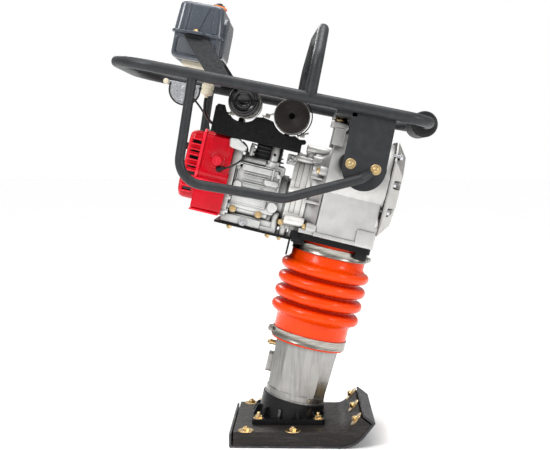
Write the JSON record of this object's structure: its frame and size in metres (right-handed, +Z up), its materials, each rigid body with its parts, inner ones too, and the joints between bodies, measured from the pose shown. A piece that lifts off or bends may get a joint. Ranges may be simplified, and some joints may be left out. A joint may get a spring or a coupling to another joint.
{
  "type": "jumping jack rammer",
  "caption": "Upright engine-driven trench rammer with a leaning bellows leg, bolted shoe, guarded engine, looped handle frame, fuel tank and front roller.",
  "frame": {"origin": "on the floor at the centre of the flat stretch of the sole", "axes": "+Z up, +X towards the toe and the front roller, +Y to the left of an operator who looks forward"},
  "size_m": [0.7255, 0.4428, 1.0024],
  "materials": {
    "bellows_rubber": "glossy orange polyurethane",
    "black_plastic": "gloss black",
    "black_rubber": "matt",
    "black_steel": "semi-gloss black",
    "bronze": "bearing bronze",
    "cast_aluminium": "bead-blasted cast aluminium",
    "cast_black": "black painted casting",
    "engine_aluminium": "cast aluminium",
    "filter_plastic": "translucent cream",
    "frame_paint": "satin powder coat, charcoal",
    "friction_lining": "clutch lining",
    "gasket": "gasket fibre",
    "machined_steel": "machined",
    "muffler_paint": "matt heat-resistant black-brown",
    "orange_plastic": "orange",
    "red_plastic": "gloss red",
    "shoe_plastic": "dark laminated shoe, slightly worn",
    "sole_steel": "worn black steel",
    "spring_steel": "oiled spring steel",
    "strap_steel": "bright stainless strap",
    "tank_plastic": "gloss slate blue-grey polyethylene",
    "zinc": "yellow passivated zinc"
  },
  "bodies": {
    "housing": {"crankcase": "cast_aluminium", "clutch_housing": "cast_aluminium", "front_cover": "cast_aluminium", "cover_gasket": "gasket", "cover_bolts": "machined_steel", "shaft_bearings": "machined_steel", "bottom_flange": "black_steel", "guide_cylinder": "machined_steel", "guide_bushes": "bronze", "upper_clamp": "strap_steel", "bellows": "bellows_rubber", "engine_block": "engine_aluminium", "cylinder_head": "engine_aluminium", "engine_plate": "black_steel", "engine_bolts": "zinc", "fan_shroud": "red_plastic", "recoil_cover": "red_plastic", "carburettor": "engine_aluminium", "air_cleaner": "black_plastic", "muffler": "muffler_paint", "canister_bands": "strap_steel", "canister_bracket": "black_steel", "handle_loop": "frame_paint", "guard_left": "frame_paint", "guard_right": "frame_paint", "lifting_handle": "frame_paint", "mounting_plates": "frame_paint", "frame_bolts": "zinc", "rubber_isolators": "black_rubber", "fuel_tank": "tank_plastic", "tank_brackets": "frame_paint", "fuel_filter": "filter_plastic", "throttle_base": "machined_steel", "fuel_hose": "black_rubber", "throttle_cable": "black_rubber", "switch_lead": "black_rubber"},
    "leg": {"lower_leg": "cast_aluminium", "ram_cylinder": "machined_steel", "lower_clamp": "strap_steel", "foot_mount": "cast_black", "foot_fasteners": "zinc", "shoe_block": "shoe_plastic", "shoe_bolts": "zinc", "sole_plate": "sole_steel", "ramming_springs": "spring_steel"},
    "crank": {"crank_gear": "machined_steel"},
    "conrod": {"connecting_rod": "machined_steel"},
    "piston": {"piston_rod": "machined_steel", "spring_piston": "machined_steel"},
    "clutch_output": {"clutch_drum": "machined_steel"},
    "engine_shaft": {"engine_crankshaft": "machined_steel", "clutch_shoes": "friction_lining", "flywheel_fan": "engine_aluminium"},
    "recoil": {"recoil_pulley": "black_plastic"},
    "starter": {"starter_grip": "black_plastic"},
    "switch": {"stop_switch": "red_plastic"},
    "choke": {"choke_lever": "machined_steel"},
    "cap": {"fuel_cap": "orange_plastic"},
    "throttle": {"throttle_lever": "machined_steel"},
    "roller": {"front_roller": "black_rubber"}
  },
  "joints": [
    {"name": "ram_stroke", "type": "slide", "parent": "housing", "child": "leg", "axis": [-0.2334, 0, -0.9724], "range_m": [-0.02, 0.022], "stiffness_N_per_m": 60000, "springref_m": 0.00934, "deforming": ["bellows", "ramming_springs"]},
    {"name": "crank_spin", "type": "hinge", "parent": "housing", "child": "crank", "pos_m": [0.138, 0, 0.59814], "axis": [0.9724, 0, -0.2334], "continuous": true},
    {"name": "conrod_swing", "type": "hinge", "parent": "crank", "child": "conrod", "pos_m": [0.1338, 0, 0.58064], "axis": [0.9724, 0, -0.2334], "continuous": true},
    {"name": "piston_stroke", "type": "slide", "parent": "housing", "child": "piston", "axis": [0.2334, 0, 0.9724], "range_m": [-0.018, 0.018], "stiffness_N_per_m": 20000, "springref_m": 0.001, "deforming": ["ramming_springs"]},
    {"name": "drum_spin", "type": "hinge", "parent": "housing", "child": "clutch_output", "pos_m": [0.05888, 0, 0.52561], "axis": [0.9724, 0, -0.2334], "continuous": true},
    {"name": "engine_spin", "type": "hinge", "parent": "housing", "child": "engine_shaft", "pos_m": [-0.10642, 0, 0.56529], "axis": [0.9724, 0, -0.2334], "continuous": true},
    {"name": "recoil_spin", "type": "hinge", "parent": "housing", "child": "recoil", "pos_m": [-0.23186, 0, 0.59541], "axis": [0.9724, 0, -0.2334], "continuous": true},
    {"name": "starter_pull", "type": "slide", "parent": "housing", "child": "starter", "axis": [-0.9724, 0, 0.2334], "range_m": [0, 0.6], "stiffness_N_per_m": 20, "springref_m": -0.05},
    {"name": "switch_turn", "type": "hinge", "parent": "housing", "child": "switch", "pos_m": [-0.15659, -0.112, 0.63904], "axis": [0, -1, 0], "range_deg": [0, 60]},
    {"name": "choke_turn", "type": "hinge", "parent": "housing", "child": "choke", "pos_m": [-0.06674, 0.115, 0.65346], "axis": [0, 1, 0], "range_deg": [0, 75]},
    {"name": "cap_turn", "type": "hinge", "parent": "housing", "child": "cap", "pos_m": [-0.16124, 0, 0.98554], "axis": [0.1959, 0, 0.9806], "range_deg": [0, 90]},
    {"name": "throttle_turn", "type": "hinge", "parent": "housing", "child": "throttle", "pos_m": [-0.26143, 0.176, 0.81588], "axis": [0, 1, 0], "range_deg": [0, 55]},
    {"name": "roller_spin", "type": "hinge", "parent": "housing", "child": "roller", "pos_m": [0.30693, 0, 0.72067], "axis": [0, 1, 0], "continuous": true}
  ],
  "couplings": [
    {"joint": "conrod_swing", "follows": "crank_spin", "ratio": -1},
    {"joint": "drum_spin", "follows": "crank_spin", "ratio": -4.9333}
  ]
}
